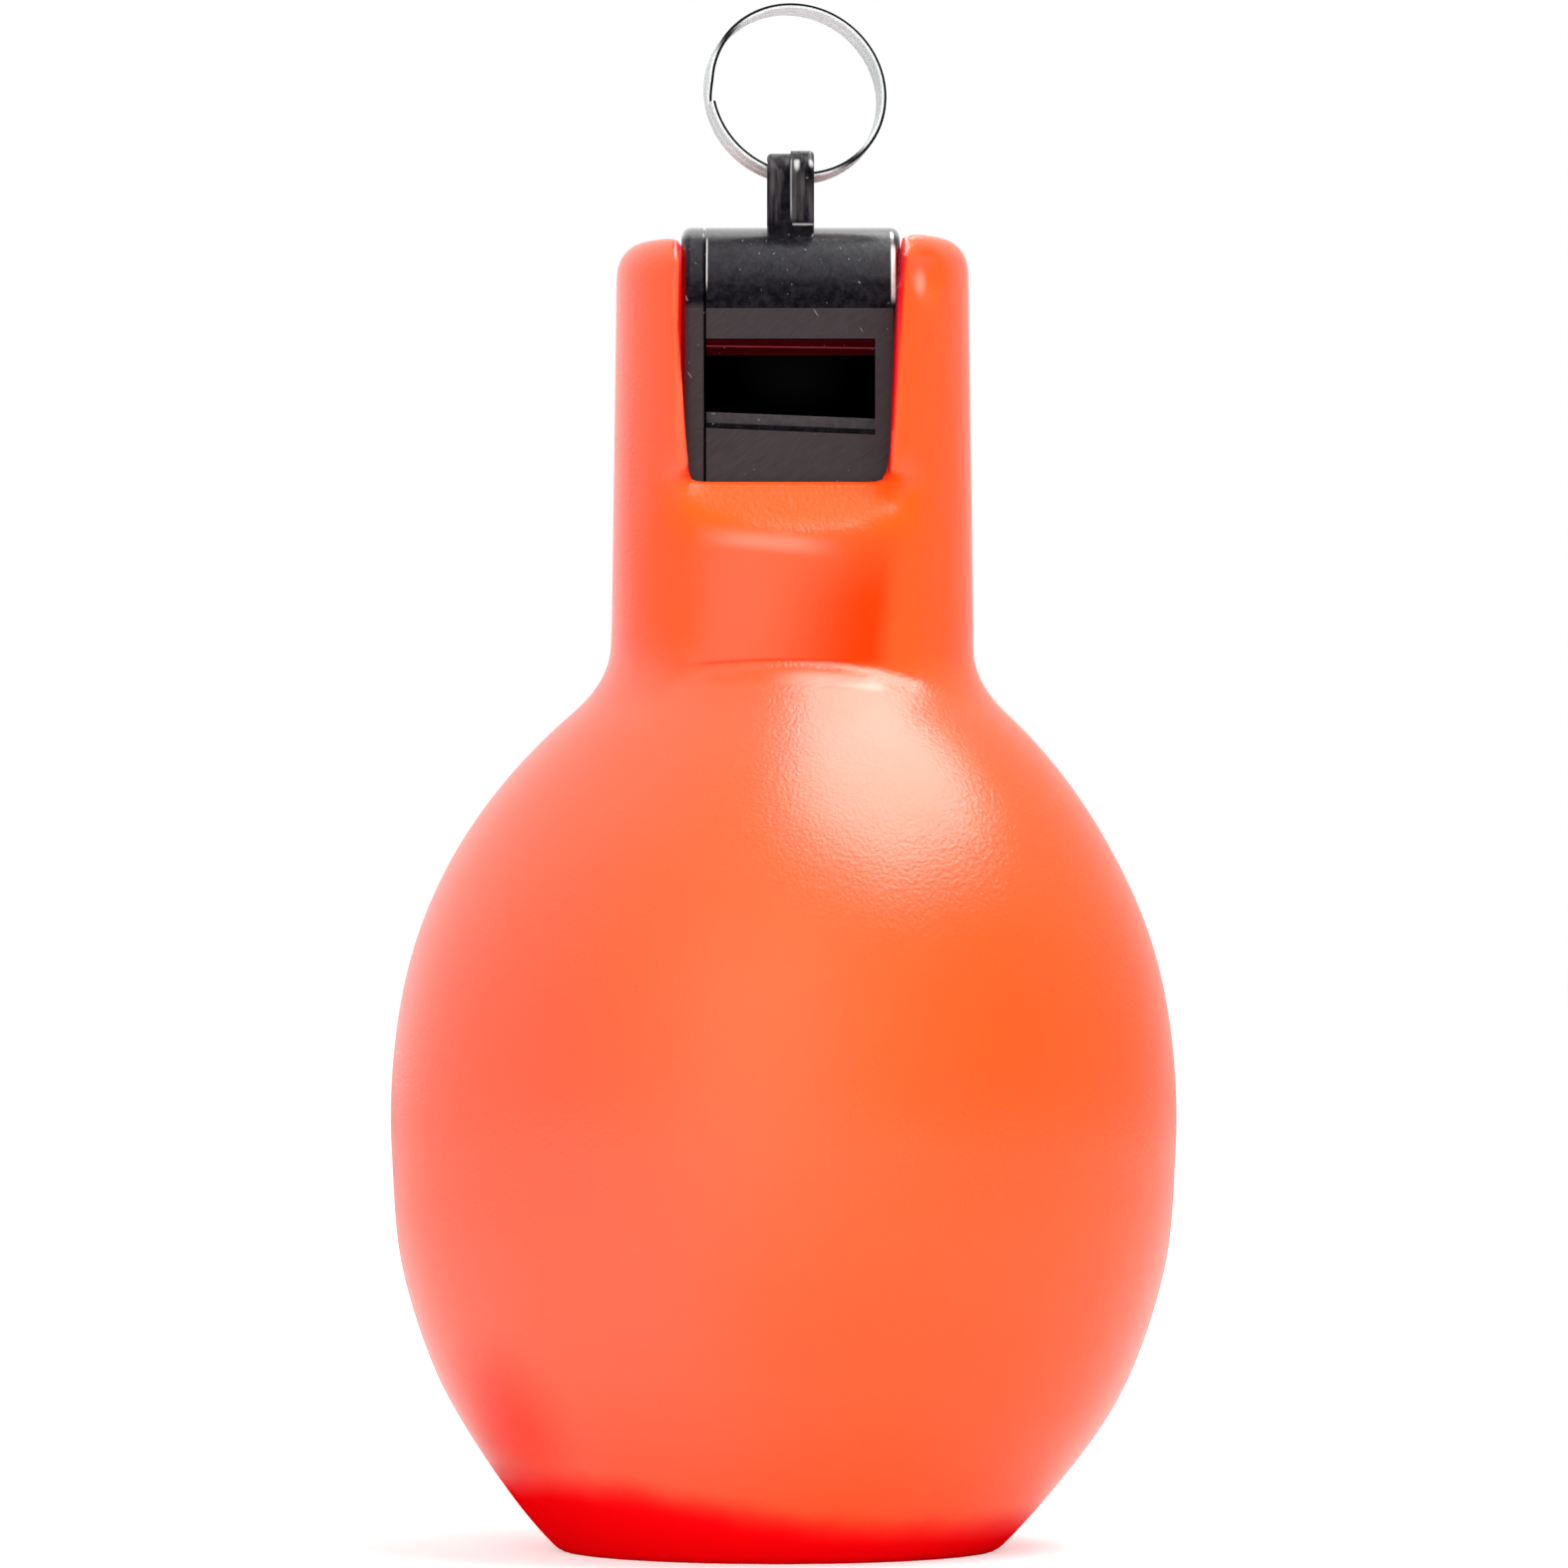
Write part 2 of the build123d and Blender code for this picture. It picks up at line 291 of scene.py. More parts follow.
# a finger-sized dent beside the slot, in the top of the right ear
dent_radius = 4 * mm
dent_stretch = 1.25
dent_lean = radians(-10)
dent_place = (15.3 * mm, -12.7 * mm, 121.7 * mm)
bpy.ops.object.select_all(action="DESELECT")
bpy.ops.mesh.primitive_uv_sphere_add(segments=48, ring_count=24, radius=dent_radius)
dent = bpy.context.object
bpy.ops.transform.resize(value=(1, 1, dent_stretch))
bpy.ops.transform.rotate(value=dent_lean, orient_axis="Y", center_override=(0, 0, 0))
bpy.ops.transform.translate(value=dent_place)
bpy.ops.object.transform_apply()
combine(bulb, dent, "DIFFERENCE")

# one skin, with faces fine enough for the lips
skin_grain = 0.58 * mm
modify(bulb, "REMESH", mode="VOXEL", voxel_size=skin_grain)


def ramp(value, start, end):
    """0 before start and 1 past end with a soft step between; start may be the higher."""
    share = np.clip((value - start) / (end - start), 0, 1)
    return share * share * (3 - 2 * share)


def each(piece, what):
    """The places or the normals of a piece's vertices, a row for each axis."""
    flat = np.empty(len(piece.data.vertices) * 3)
    piece.data.vertices.foreach_get(what, flat)
    return flat.reshape(-1, 3).T


def modify_part(piece, shares, kind, **settings):
    """Applies a modifier by a share at each vertex."""
    group = piece.vertex_groups.new(name="part")
    least_share = 0.02
    for index in np.nonzero(shares > least_share)[0]:
        group.add([int(index)], float(shares[index]), "REPLACE")
    modify(piece, kind, vertex_group="part", **settings)
    piece.vertex_groups.clear()


# the sides of the flattened front, the scoop, the brow of the ball, the slot's lower
# corners and the outside of its lips are softer than the crease and the lips themselves
x, y, z = each(bulb, "co")
aside = abs(x)
sides = ramp(aside, 5.5 * mm, 8 * mm) * ramp(aside, 15 * mm, 13 * mm) * ramp(-y, 5 * mm, 8 * mm)
sides *= ramp(z, 84.5 * mm, 87.5 * mm) * ramp(z, 99 * mm, 96 * mm)
scoop = ramp(z, 87 * mm, 90 * mm) * ramp(z, 101.6 * mm, 100.4 * mm) * ramp(-y, 4 * mm, 8 * mm)
brow = ramp(z, 80 * mm, 82.5 * mm) * ramp(z, 84.6 * mm, 83.9 * mm) * ramp(-y, 6 * mm, 9 * mm)
corners = ramp(aside, 8 * mm, 9.5 * mm) * ramp(z, 98.5 * mm, 100.4 * mm)
corners = corners * ramp(z, 105 * mm, 102.5 * mm) * ramp(-y, 10.8 * mm, 11.6 * mm)
outer = ramp(aside, 9.3 * mm, 11.5 * mm) * ramp(z, 94 * mm, 98 * mm)
outer = outer * ramp(z, 110 * mm, 105 * mm) * ramp(-y, 7 * mm, 9 * mm)
for shares, rounds in ((sides, 225), (scoop, 30), (brow, 12), (corners, 30), (outer, 90)):
    modify_part(bulb, shares, "SMOOTH", factor=0.5, iterations=rounds)
modify(bulb, "SMOOTH", factor=0.5, iterations=4)

# the inside of the ball and the plain back need fewer faces than the front
x, y, z = each(bulb, "co")
facing_x, facing_y, facing_z = each(bulb, "normal")
hidden = facing_x * x + facing_y * y + facing_z * (z - ball_middle) < 0
hidden = hidden & (z < ceiling_height + past)
back_share = 0.4
faces_left = 0.49
plain = np.where(hidden, 1.0, back_share * ramp(y, 0, 10 * mm))
modify_part(bulb, plain, "DECIMATE", ratio=faces_left, vertex_group_factor=1)

# the crown and the foot are fuller than the arcs they were turned from
fuller_crown = 0.4 * mm
fuller_foot = 0.55 * mm
flat_radius = 20 * mm
x, y, z = each(bulb, "co")
fuller = fuller_crown * ramp(z, 44 * mm, 62 * mm) * ramp(z, 85 * mm, 79.5 * mm)
fuller += fuller_foot * ramp(z, 5 * mm, 17 * mm) * ramp(z, 38 * mm, 26 * mm)
stretch = 1 + fuller / np.maximum(np.hypot(x, y), flat_radius)
x, y = x * stretch, y * stretch

# the left ear is lower, and each lip of the slot is trimmed to one even line
ear_drop = 0.4 * mm
right_lip_reach = 13.4 * mm
left_lip_reach = 12.7 * mm
trimmed = 0.8
z = z - ear_drop * ramp(-x, 8 * mm, 11 * mm) * ramp(z, 112 * mm, 122 * mm)
proud = np.maximum(-y - np.where(x > 0, right_lip_reach, left_lip_reach), 0)
y += trimmed * proud * ramp(z, 101 * mm, 103 * mm)

# the moulding isn't quite straight: below the neck it leans over to the left
neck_aside = 0.2 * mm
body_aside = 0.85 * mm
foot_aside = 0.5 * mm
x += neck_aside - body_aside * ramp(z, 90 * mm, 64 * mm) - foot_aside * ramp(z, 14 * mm, 0)
bulb.data.vertices.foreach_set("co", np.array((x, y, z)).T.ravel())
bulb.data.update()
bpy.ops.object.select_all(action="DESELECT")
bulb.select_set(True)
bpy.context.view_layer.objects.active = bulb
bpy.ops.object.shade_smooth()


class Value:
    """A socket of a material or of the room, which can be reckoned with like a number."""

    def __init__(self, nodes, socket):
        self.nodes = nodes
        self.socket = socket

    def reckon(self, operation, *values):
        return self.nodes.node("Math", "Value", {"operation": operation}, dict(enumerate(values)))

    def __add__(self, other):
        return self.reckon("ADD", self, other)

    __radd__ = __add__

    def __sub__(self, other):
        return self.reckon("SUBTRACT", self, other)

    def __rsub__(self, other):
        return self.reckon("SUBTRACT", other, self)

    def __mul__(self, other):
        return self.reckon("MULTIPLY", self, other)

    __rmul__ = __mul__

    def __lt__(self, other):
        return self.reckon("LESS_THAN", self, other)

    def __gt__(self, other):
        return self.reckon("GREATER_THAN", self, other)

    def __abs__(self):
        return self.reckon("ABSOLUTE", self)

    def most(self, *others):
        """The highest of this and the others."""
        highest = self
        for other in others:
            highest = self.reckon("MAXIMUM", highest, other)
        return highest

    def step(self, start, end):
        """0 before start and 1 past end with a soft step between; start may be the higher."""
        return self.nodes.node("MapRange", "Result", {"interpolation_type": "SMOOTHSTEP"}, {
            "Value": self, "From Min": start, "From Max": end})

    def within(self, start, full, fading, end):
        """0 before start, 1 from full to fading, and 0 again past end."""
        return self.step(start, full) * self.step(end, fading)

    def near(self, middle, faint, full):
        """1 closer than full to a middle, and 0 further from it than faint."""
        return abs(self - middle).step(faint, full)


class Nodes:
    """The nodes of a material or of the room while they are laid."""

    def __init__(self, tree):
        self.tree = tree

    def feed(self, node, socket, value):
        """Gives a socket its link, colour or number."""
        if isinstance(value, Value):
            self.tree.links.new(value.socket, node.inputs[socket])
        elif isinstance(value, tuple) and node.inputs[socket].type == "RGBA":
            node.inputs[socket].default_value = (*value, 1)
        else:
            node.inputs[socket].default_value = value

    def node(self, kind, output, settings, inputs):
        """A node of that kind with its settings, then its inputs; gives the named output."""
        node = self.tree.nodes.new("ShaderNode" + kind)
        for name, value in settings.items():
            setattr(node, name, value)
        for socket, value in inputs.items():
            self.feed(node, socket, value)
        return Value(self, node.outputs[output])

    def axes(self, place):
        """X, Y and Z of a place."""
        return [self.node("SeparateXYZ", letter, {}, {0: place}) for letter in "XYZ"]


class Finish(Nodes):
    """A material while it is made: its nodes and its one shader."""

    def __init__(self, name, **sockets):
        self.material = bpy.data.materials.new(name)
        self.material.use_nodes = True
        super().__init__(self.material.node_tree)
        self.shader = self.tree.nodes["Principled BSDF"]
        self.surface = Value(self, self.shader.outputs["BSDF"])
        self.place = self.node("TexCoord", "Object", {}, {})
        self.set(**sockets)

    def set(self, **sockets):
        """Feeds the shader's sockets, named with _ for each space."""
        for socket, value in sockets.items():
            self.feed(self.shader, socket.replace("_", " "), value)

    def blend(self, share, colour):
        """Turns that share of the surface into a dull paint of that colour."""
        dull = self.node("BsdfDiffuse", "BSDF", {}, {"Color": colour})
        self.surface = self.node("MixShader", "Shader", {}, {0: share, 1: self.surface, 2: dull})
        self.feed(self.tree.nodes["Material Output"], "Surface", self.surface)

    def wear(self, piece):
        """Makes this the only material of a piece."""
        piece.data.materials.clear()
        piece.data.materials.append(self.material)

    def mix(self, share, first, second):
        """Colour between first and second."""
        return self.node("Mix", 2, {"data_type": "RGBA"}, {0: share, 6: first, 7: second})

    def noise(self, scale, detail=2.0, roughness=0.5, place=None):
        """Noise from 0 to 1, whose grain is 1 / scale metres."""
        return self.node("TexNoise", "Fac", {}, {
            "Vector": place or self.place, "Scale": scale, "Detail": detail,
            "Roughness": roughness})

    def turned(self, about_y):
        """The place turned about Y."""
        return self.node("Mapping", "Vector", {}, {
            "Vector": self.place, "Rotation": (0, about_y, 0)})

    def stretched(self, place, scale):
        return self.node("VectorMath", "Vector", {"operation": "MULTIPLY"}, {0: place, 1: scale})

    def seen_from(self, point):
        """The place as seen from a point."""
        return self.node("VectorMath", "Vector", {"operation": "SUBTRACT"}, {
            0: self.place, 1: point})

    def far(self, point, scale):
        """Distance from a point, with each axis stretched by its scale."""
        return self.node("VectorMath", "Value", {"operation": "LENGTH"}, {
            0: self.stretched(self.seen_from(point), scale)})

    def bump(self, height, depth):
        return self.node("Bump", "Normal", {}, {
            "Height": height, "Distance": depth, "Strength": 1.0})


# the skin, from pale painted highlights to red painted shade and dark reflection
pvc_shine = (1.0, 0.6, 0.5)
pvc_highlight = (1.0, 0.42, 0.33)
pvc_fold_highlight = (1.0, 0.4, 0.3)
pvc_glow = (1.0, 0.145, 0.045)
pvc_pink = (1.0, 0.112, 0.053)
pvc_orange = (1.0, 0.09, 0.012)
pvc_scoop = (1.0, 0.1, 0.004)
pvc_deep_shade = (1.0, 0.035, 0.0)
pvc_blob_reflection = (1.0, 0.03, 0.0)
pvc_red = (1.0, 0.001, 0.004)
pvc_lip_shadow = (0.12, 0.0, 0.004)
slot_unlit = (0.0, 0.0, 0.0)
slot_glow = (0.18, 0.0, 0.004)
slot_glow_strength = 0.8
skin_peel = 0.05 * mm
soft_pvc = Finish("soft_pvc", IOR=1.5, Specular_IOR_Level=0.36)
right, back, up = soft_pvc.axes(soft_pvc.place)
in_front = back.step(0, -5 * mm)

# pink on the left, a painted sheen of the white reflected there, with a cloudy change of tone to
# orange on the right
cloudy = 30 * mm * soft_pvc.noise(30, detail=1.0)
tint = soft_pvc.mix((right + cloudy).step(-14 * mm, 28 * mm), pvc_pink, pvc_orange)

# painted shade: the flattened front is painted a deeper orange on its right, where it reflects
# little light, and along the crease at its foot
shaded_patch = (right - 0.111 * up).step(0.6 * mm, -2.2 * mm)
shaded_patch = shaded_patch * (right - 0.25 * up).step(-26.2 * mm, -14.5 * mm)
shaded_patch = shaded_patch * up.within(83.6 * mm, 84.8 * mm, 89.5 * mm, 99.5 * mm) * in_front
crease_shade = (up + 5.5 * right * right).near(84.75 * mm, 0.25 * mm, 0.05 * mm)
crease_shade = crease_shade * right.within(-10.5 * mm, -7 * mm, 3 * mm, 7.5 * mm) * in_front
tint = soft_pvc.mix(0.75 * crease_shade, tint, pvc_deep_shade)

# the left side of the neck is more orange
neck_side = up.within(83 * mm, 88 * mm, 96 * mm, 101 * mm) * in_front
neck_side = neck_side * right.within(-16.5 * mm, -13 * mm, -9.5 * mm, -7 * mm)
tint = soft_pvc.mix(0.6 * neck_side, tint, pvc_orange)

# painted light: the skin is painted paler as a highlight under the crease, as a pool of light in
# the middle of the ball and as a shine in the ear's dent
crease_highlight = (up + 8 * right * right).near(83 * mm, 0.9 * mm, 0.2 * mm)
crease_highlight = crease_highlight * right.within(-3 * mm, 3.5 * mm, 7.5 * mm, 9.5 * mm) * in_front
tint = soft_pvc.mix(0.6 * crease_highlight, tint, pvc_highlight)
belly_light = soft_pvc.far((-1 * mm, -36 * mm, 52 * mm), (1, 0.3, 0.8)).step(24 * mm, 0)
tint = soft_pvc.mix(0.5 * belly_light, tint, pvc_glow)
dent_shine = soft_pvc.far((12.3 * mm, -12 * mm, 120.6 * mm), (1, 0.2, 0.5))
tint = soft_pvc.mix(0.35 * dent_shine.step(0.9 * mm, 0.1 * mm), tint, pvc_shine)

# painted shade and highlight: the scoop below the slot is painted a deeper, dull orange that dims
# its reflections, and the fold under it is painted paler as a highlight
in_scoop = up.within(95.5 * mm, 98.5 * mm, 101.2 * mm, 102.6 * mm)
in_scoop = in_scoop * (right * right).step((14 * mm) ** 2, (8 * mm) ** 2)
in_scoop = in_scoop * back.step(-9 * mm, -10 * mm)
fold_highlight = (up + 0.1 * right).near(95.7 * mm, 1.3 * mm, 0.2 * mm) * back.step(-10 * mm, -13 * mm)
fold_highlight = fold_highlight * right.within(-9.5 * mm, -4 * mm, 0, 5.5 * mm)
tint = soft_pvc.mix(0.3 * fold_highlight, tint, pvc_fold_highlight)

# painted shade and glow: the shaded walls of the slot are painted pure red and given a dim red
# glow
slot_wall_shade = up.step(101.2 * mm, 102.2 * mm)
slot_wall_shade = slot_wall_shade * back.within(-12.2 * mm, -10.6 * mm, -7.5 * mm, -6 * mm)
slot_wall_shade = slot_wall_shade * (right * right).step((11.3 * mm) ** 2, (10.9 * mm) ** 2)
tint = soft_pvc.mix(slot_wall_shade, tint, pvc_red)

# painted shade: that red fades into the front of the right lip, which is painted darkest at its
# edge
from_lip_edge = right - 0.072 * up
lip_shade = right.step(8 * mm, 8.5 * mm) * back.step(-11 * mm, -12.2 * mm)
lip_shade = lip_shade * up.within(101.5 * mm, 103 * mm, 124 * mm, 125 * mm)
tint = soft_pvc.mix(lip_shade * from_lip_edge.step(2.32 * mm, 1.9 * mm), tint, pvc_red)
tint = soft_pvc.mix(lip_shade * from_lip_edge.step(2.15 * mm, 1.3 * mm), tint, pvc_lip_shadow)

# painted dark reflection: the foot is painted red too, highest on the left, where a dark blob is
# painted above it
reflected_blob = soft_pvc.far((-27.2 * mm, -18 * mm, 11.5 * mm), (1, 0.5, 0.7)).step(9 * mm, 1 * mm)
tint = soft_pvc.mix(reflected_blob, tint, pvc_blob_reflection)
uneven = 1.4 * mm * soft_pvc.noise(180)
foot = (up - 4.2 * mm * right.step(10 * mm, -24 * mm) + uneven).step(6 * mm, 1.8 * mm)

soft_pvc.set(
    Base_Color=soft_pvc.mix(foot, tint, pvc_red),
    Roughness=0.22 + 0.04 * soft_pvc.noise(400),
    Normal=soft_pvc.bump(soft_pvc.noise(2600), skin_peel),
    Emission_Color=soft_pvc.mix(slot_wall_shade, slot_unlit, slot_glow),
    Emission_Strength=slot_glow_strength,
)
# dull paint over the painted shade of the scoop, of the patch and of the foot
soft_pvc.blend(0.75 * in_scoop, pvc_scoop)
soft_pvc.blend(0.9 * shaded_patch, pvc_deep_shade)
soft_pvc.blend(foot, pvc_red)
soft_pvc.wear(bulb)
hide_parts("squeeze_bulb")
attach(bulb, "bulb_and_whistle")


# ---- whistle body and side cap --------------------------------------------------------
# Black ABS, moulded with a polished barrel and a finely ground flat face.  The cap is
# glued on the left side once the pea is in, and its seam shows.

abs_black = (0.003, 0.0025, 0.004)
abs_mottled = (0.015, 0.013, 0.018)
abs_barrel_sheen = (0.05, 0.046, 0.058)
abs_ground = (0.028, 0.022, 0.023)
abs_ground_pale = (0.052, 0.043, 0.046)
abs_lug_sheen = (0.07, 0.062, 0.064)
abs_lit_tip = (0.09, 0.075, 0.08)
abs_seam = (0.001, 0.001, 0.001)
abs_glint_and_wear = (1.0, 1.0, 1.0)
bevel_reflection = (0.03, 0.001, 0.002)
bevel_highlight = (0.35, 0.05, 0.06)
gap_red = (0.2, 0.001, 0.001)
bore_shade = (0.0, 0.0, 0.0)
bore_radius = 8.43 * mm
cap_joint = -8.09 * mm
lug_foot = 126.2 * mm
moulded_grain = 0.012 * mm
black_abs = Finish(
    "black_abs", IOR=1.5, Specular_IOR_Level=0.08, Coat_Roughness=0.08, Coat_IOR=1.6)
across, depth, up = black_abs.axes(black_abs.place)

# the polished barrel is mottled, with a painted sheen above, and glossy at its very top
mottled = black_abs.noise(1300, detail=4.0, roughness=0.7).step(0.35, 0.75)
colour = black_abs.mix(mottled, abs_black, abs_mottled)
barrel_sheen = up.within(119.5 * mm, 122.5 * mm, 124.7 * mm, 125.4 * mm)
colour = black_abs.mix(0.06 * barrel_sheen, colour, abs_barrel_sheen)
glossy_top = up.within(124.7 * mm, 125.4 * mm, lug_foot - 0.1 * mm, lug_foot)

# the flat face and the lower front of the cap are ground aslant
cap_front = (across < -8.05 * mm) * (depth < 0) * up.step(118.9 * mm, 117.6 * mm)
flat_face = (depth < face + 0.03 * mm).most(cap_front)
aslant = black_abs.stretched(black_abs.turned(-0.9), (3000, 3000, 600))
ground = black_abs.noise(1.0, detail=3.0, roughness=0.6, place=aslant)
colour = black_abs.mix(flat_face, colour, black_abs.mix(ground, abs_ground, abs_ground_pale))

# painted sheen: lighter streaks up the lug
upright = black_abs.stretched(black_abs.place, (1300, 1300, 160))
lug_sheen = black_abs.noise(1.0, place=upright).step(0.4, 0.7) * up.step(lug_foot, 127 * mm)
colour = black_abs.mix(lug_sheen, colour, abs_lug_sheen)

# painted reflection: the bevelled lip of the window is painted dark red, as it reflects the skin
# below, with a painted highlight line along it
bevel = depth.within(face + 0.02 * mm, face + 0.1 * mm, face + 1.9 * mm, face + 2.2 * mm)
bevel = bevel * up.within(113 * mm, 113.2 * mm, 115.3 * mm, 115.5 * mm) * (across > -8.02 * mm)
bevel_highlight_line = bevel * (up + 0.012 * across).near(114.4 * mm, 0.1 * mm, 0.03 * mm)
colour = black_abs.mix(bevel, colour, bevel_reflection)
colour = black_abs.mix(0.5 * bevel_highlight_line, colour, bevel_highlight)

# painted light: the tip of the block below the window, lit from above, is painted lighter in
# patches
block_tip = (up + 0.04 * across).within(106.9 * mm, 107.1 * mm, 108.2 * mm, 108.4 * mm)
block_tip = block_tip * depth.step(face + 2.0 * mm, face + 2.4 * mm)
lit_tip = block_tip * (0.4 + 0.6 * black_abs.noise(1500, detail=3.0))
colour = black_abs.mix(lit_tip, colour, abs_lit_tip)

# the seam is dark, and red light from the walls of the slot fills the gaps beside them
seam = across.near(cap_joint, 0.16 * mm, 0.09 * mm) * (depth < 0)
colour = black_abs.mix(seam, colour, abs_seam)
in_slot = up.step(124.5 * mm, 123.5 * mm) * (depth < -2 * mm)
beside = across.step(-9.85 * mm, -10.05 * mm).most(across.step(9.86 * mm, 9.98 * mm))
colour = black_abs.mix(0.9 * beside * in_slot, colour, gap_red)

# painted highlights: glints along the edge beside the seam and along the right of the barrel
seam_glint = across.near(-7.93 * mm, 0.1 * mm, 0.04 * mm)
seam_glint = seam_glint * up.within(119.5 * mm, 121 * mm, 124.5 * mm, 125.2 * mm)
right_edge_glint = across.near(9.73 * mm, 0.28 * mm, 0.12 * mm)
right_edge_glint = right_edge_glint * up.within(118.3 * mm, 119.5 * mm, 123.5 * mm, 124.5 * mm)
patchy = 0.45 + 0.5 * black_abs.noise(1500)

# painted highlights on the front of the lug: two glints at its top, its parting line, and the
# step at the foot of its right half
left_glint = black_abs.far((0.6 * mm, -3.5 * mm, 132.1 * mm), (1, 0.2, 0.4))
right_glint = black_abs.far((2 * mm, -3.5 * mm, 132.3 * mm), (1, 0.2, 0.5))
glints = left_glint.step(0.4 * mm, 0.1 * mm).most(right_glint.step(0.4 * mm, 0.1 * mm))
parting_glint = across.near(0.05 * mm, 0.14 * mm, 0.05 * mm) * up.step(126.5 * mm, 128 * mm)
lug_step_glint = up.near(126.3 * mm, 0.14 * mm, 0.05 * mm)
lug_step_glint = lug_step_glint * across.within(0.1 * mm, 0.3 * mm, 2.1 * mm, 2.3 * mm)
lug_front = depth.step(-3.3 * mm, -3.6 * mm) * up.step(125.8 * mm, 126.1 * mm)
lug_highlights = glints.most(0.4 * parting_glint, lug_step_glint) * lug_front

# dust and short scratches all over
dust = black_abs.noise(1900) > 0.745
drawn_out = black_abs.stretched(black_abs.turned(0.6), (1, 1, 0.12))
scratches = black_abs.noise(2200, detail=1.0, place=drawn_out) > 0.765
# the painted highlights and the real dust and scratches all lighten towards white
glints_and_wear = (0.5 * lug_highlights).most(
    0.4 * seam_glint, right_edge_glint * patchy, 0.14 * dust, 0.12 * scratches)

black_abs.set(
    Base_Color=black_abs.mix(glints_and_wear, colour, abs_glint_and_wear),
    Roughness=0.16 + 0.2 * flat_face + 0.14 * black_abs.noise(700, detail=3.0),
    Coat_Weight=glossy_top,
    Normal=black_abs.bump(black_abs.noise(2500, detail=4.0), moulded_grain),
)
# painted shade: the inside of the barrel is painted dull black
in_bore = black_abs.far((0, 0, barrel_axis), (0, 1, 1)) < bore_radius
black_abs.blend(in_bore * (depth > face + 0.9 * mm), bore_shade)
for node in ("whistle_body", "side_cap"):
    black_abs.wear(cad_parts[node])


# ---- pea ------------------------------------------------------------------------------
# The ball that rattles in the barrel, moulded in dull black plastic and put in before the
# cap is glued on.

pea_grain = 0.03 * mm
pea_plastic = Finish(
    "pea_plastic", Roughness=0.9, Specular_IOR_Level=0.05, Base_Color=(0.001, 0.001, 0.001))
pea_plastic.set(Normal=pea_plastic.bump(pea_plastic.noise(1500, detail=3.0), pea_grain))
pea_plastic.wear(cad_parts["pea"])


# ---- split ring -----------------------------------------------------------------------
# Two turns of nickel-plated steel strip with rounded edges, wound through the eye of the
# lug.  A soft step just before the end of the first turn leads into the second.

ring_radius = 8.75 * mm
strip_thickness = 0.5 * mm
strip_width = 1.2 * mm
strip_edge = 0.14 * mm
strip_steps = 360
edge_steps = 4
pitch = 1.25 * mm
two_turns = 720
end_gap = 3
step_start, step_end = 343, 359
end_angle = 187
ring_middle = Vector((0.438, 2.376, 139.11)) * mm
ring_turn = Euler((radians(-15), 0, radians(14))).to_matrix()

outline = []
for side_a, side_r, start in ((1, 1, 0), (-1, 1, 90), (-1, -1, 180), (1, -1, 270)):
    middle = (
        side_a * (strip_width / 2 - strip_edge), side_r * (strip_thickness / 2 - strip_edge))
    outline += arc(middle, strip_edge, radians(start), radians(start + 90), edge_steps)
strip = prism("split_ring_strip", outline, 0, mm, "X")

# a straight strip, drawn out from its far end one step at a time
bpy.ops.object.mode_set(mode="EDIT")
bpy.ops.mesh.select_all(action="DESELECT")
bpy.ops.object.mode_set(mode="OBJECT")
for vertex in strip.data.vertices:
    vertex.select = vertex.co.x > mm / 2
bpy.ops.object.mode_set(mode="EDIT")
bpy.ops.mesh.select_mode(type="VERT")
for _ in range(strip_steps - 1):
    bpy.ops.mesh.extrude_region_move(TRANSFORM_OT_translate={"value": (mm, 0, 0)})
bpy.ops.object.mode_set(mode="OBJECT")

# wound into its two turns, with each vertex's place in the strip's section noted
sideways, outwards = [], []
for vertex in strip.data.vertices:
    along, aside, outward = vertex.co
    sideways.append(aside / (strip_width / 2))
    outwards.append(outward / (strip_thickness / 2))
    angle = (two_turns - end_gap) * along / (strip_steps * mm)
    rise = pitch * (ramp(angle, step_start, step_end) - 0.5)
    radius = ring_radius - strip_thickness / 2 + outward
    around = radians(end_angle + end_gap / 2 + angle)
    wound = Vector((radius * cos(around), aside + rise, radius * sin(around)))
    vertex.co = ring_middle + ring_turn @ wound
for name, values in (("sideways", sideways), ("outwards", outwards)):
    strip.data.attributes.new(name, "FLOAT", "POINT").data.foreach_set("value", values)
bpy.ops.object.shade_smooth_by_angle(angle=radians(50))

nickel_grey = (0.68, 0.7, 0.71)
nickel_pale = (0.8, 0.82, 0.82)
nickel_front_lit = (0.95, 0.95, 0.95)
nickel_dull = (0.56, 0.6, 0.61)
nickel_dark_reflection = (0.01, 0.01, 0.01)
plated_steel = Finish("plated_steel")
sideways = plated_steel.node("Attribute", "Fac", {"attribute_name": "sideways"}, {})
outwards = plated_steel.node("Attribute", "Fac", {"attribute_name": "outwards"}, {})
front_edge = sideways.step(-0.74, -0.84)
bright = plated_steel.mix(plated_steel.noise(300), nickel_grey, nickel_pale)
# painted light: the front edge of the strip is painted near white, as if lit from the front
bright = plated_steel.mix(front_edge, bright, nickel_front_lit)

# painted reflection: the front edge is painted dark on its outer side above and right, on its
# inner side elsewhere
ring_x, _, ring_z = plated_steel.axes(plated_steel.seen_from(tuple(ring_middle)))
above_right = ring_x + ring_z
outer_side = outwards.step(-0.3, 0.1) * above_right.step(-5 * mm, -1 * mm)
inner_side = outwards.step(0.3, -0.1) * above_right.step(3 * mm, -1 * mm)
dark_reflection = outer_side.most(inner_side) * front_edge

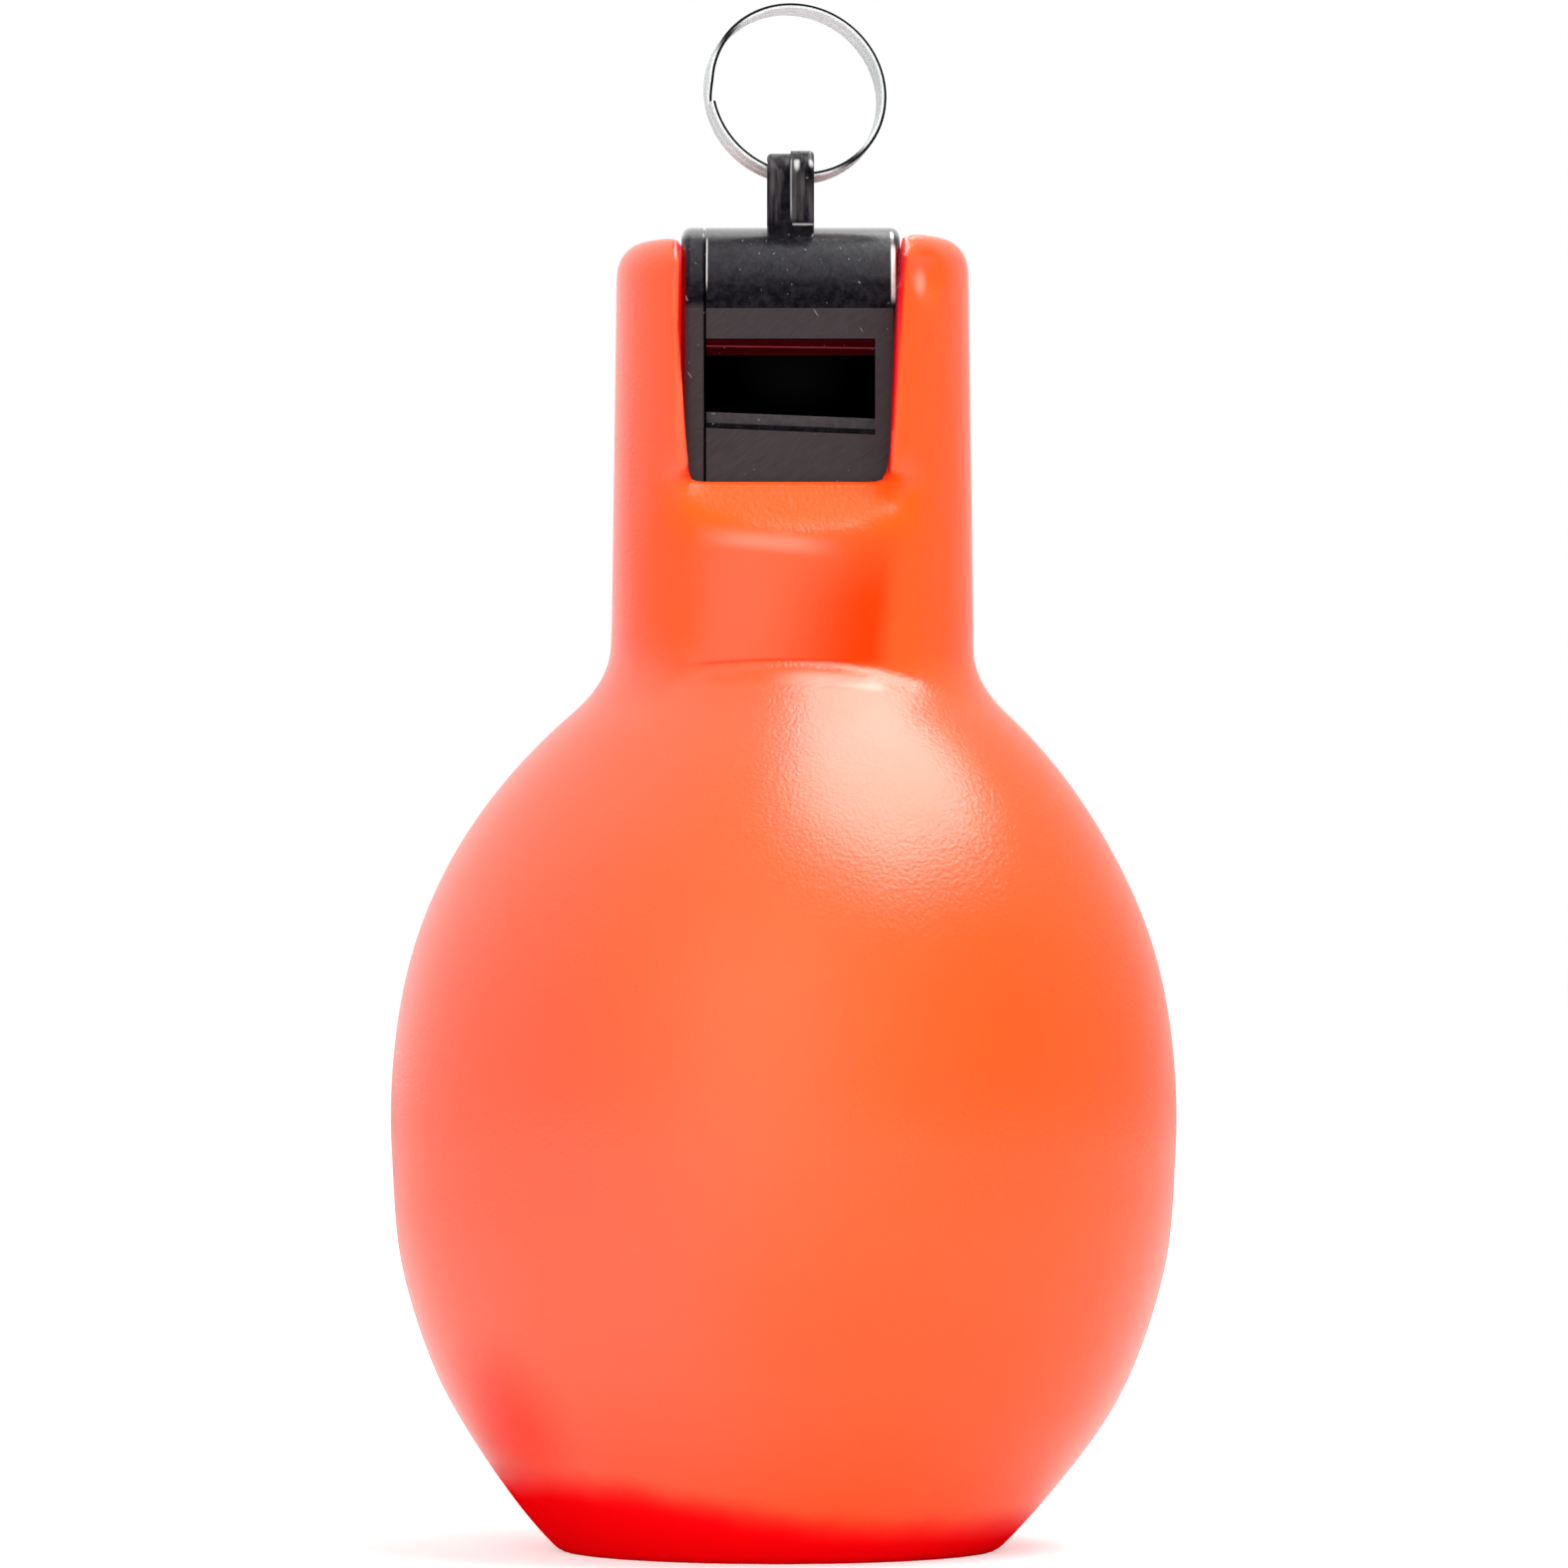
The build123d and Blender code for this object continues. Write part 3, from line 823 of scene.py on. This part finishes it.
# the plating is duller on the front edge and low down, where it rubs in the eye
_, _, up = plated_steel.axes(plated_steel.place)
low = up.step(135 * mm, 132 * mm)
plated_steel.set(
    Base_Color=plated_steel.mix(dark_reflection, bright, nickel_dark_reflection),
    Metallic=(0.55 - 0.3 * front_edge - 0.3 * low).most(0),
    Roughness=0.3 + 0.05 * plated_steel.noise(1500),
)
plated_steel.blend(0.62, nickel_dull)
plated_steel.blend(dark_reflection, nickel_dark_reflection)
plated_steel.wear(strip)
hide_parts("split_ring")
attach(strip, "ring")


# ---- studio ---------------------------------------------------------------------------
# A plain pale floor in a pale room, two large soft boxes that light the object, and a
# bright sail overhead on the right that only shows in reflections.

floor_size = 6
floor_unlit = (0.0, 0.0, 0.0)
floor_glow = (0.45, 0.45, 0.45)
bpy.ops.object.select_all(action="DESELECT")
bpy.ops.mesh.primitive_plane_add(size=floor_size, location=(0, 0, 0))
floor = bpy.context.object
floor.name = "floor"
paper = Finish(
    "paper", Base_Color=(0.8, 0.8, 0.8), Roughness=1.0, Specular_IOR_Level=0.0,
    Emission_Strength=1.0)
seen = paper.node("LightPath", "Is Camera Ray", {}, {})
paper.set(Emission_Color=paper.mix(seen, floor_unlit, floor_glow))
paper.wear(floor)

# the room is white where it is seen; its light is weaker from the front, and what
# reflections show of it is darker in front, below and on the right
world = bpy.data.worlds.new("studio")
scene.world = world
world.use_nodes = True
room = Nodes(world.node_tree)


def even_ramp(value, start, end, low, high):
    """Low before start and high past end, with an even change between them."""
    return room.node("MapRange", "Result", {}, {
        "Value": value, "From Min": start, "From Max": end, "To Min": low, "To Max": high})


sideways, rearwards, upwards = room.axes(room.node("TexCoord", "Generated", {}, {}))
lighting = even_ramp(rearwards, -0.3, 0.3, 0.35, 1.0)
mirrored = even_ramp(rearwards + upwards, -0.2, 0.9, 0.04, 1.0)
mirrored = mirrored * even_ramp(sideways, 0.9, -0.9, 0.5, 1.4)
in_mirror = room.node("LightPath", "Is Glossy Ray", {}, {})
seen = room.node("LightPath", "Is Camera Ray", {}, {})
strength = in_mirror * mirrored + (1 - in_mirror) * lighting
background = world.node_tree.nodes["Background"]
room.feed(background, "Color", (1.0, 1.0, 1.0))
room.feed(background, "Strength", strength.most(seen))

# the sail's shape is that of the highlights on the ball and on the barrel
lit_point = Vector((8 * mm, 0, 75 * mm))
sail_height = 1.0
sail_strength = 12.0
sail_corners = (
    (0.02, 0.27), (0.04, -0.5), (0.69, -0.62), (1.06, 0.0), (0.95, 0.32),
    (0.47, 0.43), (0.37, 0.59), (0.33, 1.3), (0.05, 1.3),
)
sail = Finish(
    "sail", Base_Color=(0.0, 0.0, 0.0), Emission_Color=(1.0, 1.0, 1.0),
    Emission_Strength=sail_strength)
bpy.ops.object.select_all(action="DESELECT")
bpy.ops.mesh.primitive_circle_add(vertices=len(sail_corners), radius=1, fill_type="NGON")
key = bpy.context.object
key.name = "key"
for vertex, corner in zip(key.data.vertices, sail_corners):
    vertex.co = lit_point + Vector((*corner, sail_height))
sail.wear(key)
key.visible_camera = False
key.visible_diffuse = False
key.visible_shadow = False


def soft_box(name, towards, distance, width, length, long_side, power):
    """A lamp in a direction from the lit point, its long side along a vector; never mirrored."""
    outward = Vector(towards).normalized()
    across = Vector(long_side).cross(outward).normalized()
    turned = Matrix((across, outward.cross(across), outward)).transposed()
    bpy.ops.object.light_add(type="AREA", location=lit_point + outward * distance)
    lamp = bpy.context.object
    lamp.name = name
    lamp.rotation_euler = turned.to_euler()
    lamp.data.shape = "RECTANGLE"
    lamp.data.size = width
    lamp.data.size_y = length
    lamp.data.energy = power
    lamp.visible_glossy = False


soft_box("top", (0.3, -0.2, 0.94), distance=1.0, width=0.5, length=0.9,
         long_side=(-0.39, 0.92, 0), power=10)
soft_box("front", (-0.15, -1, 0.3), distance=1.6, width=1.3, length=1.3,
         long_side=(0, 0, 1), power=16)
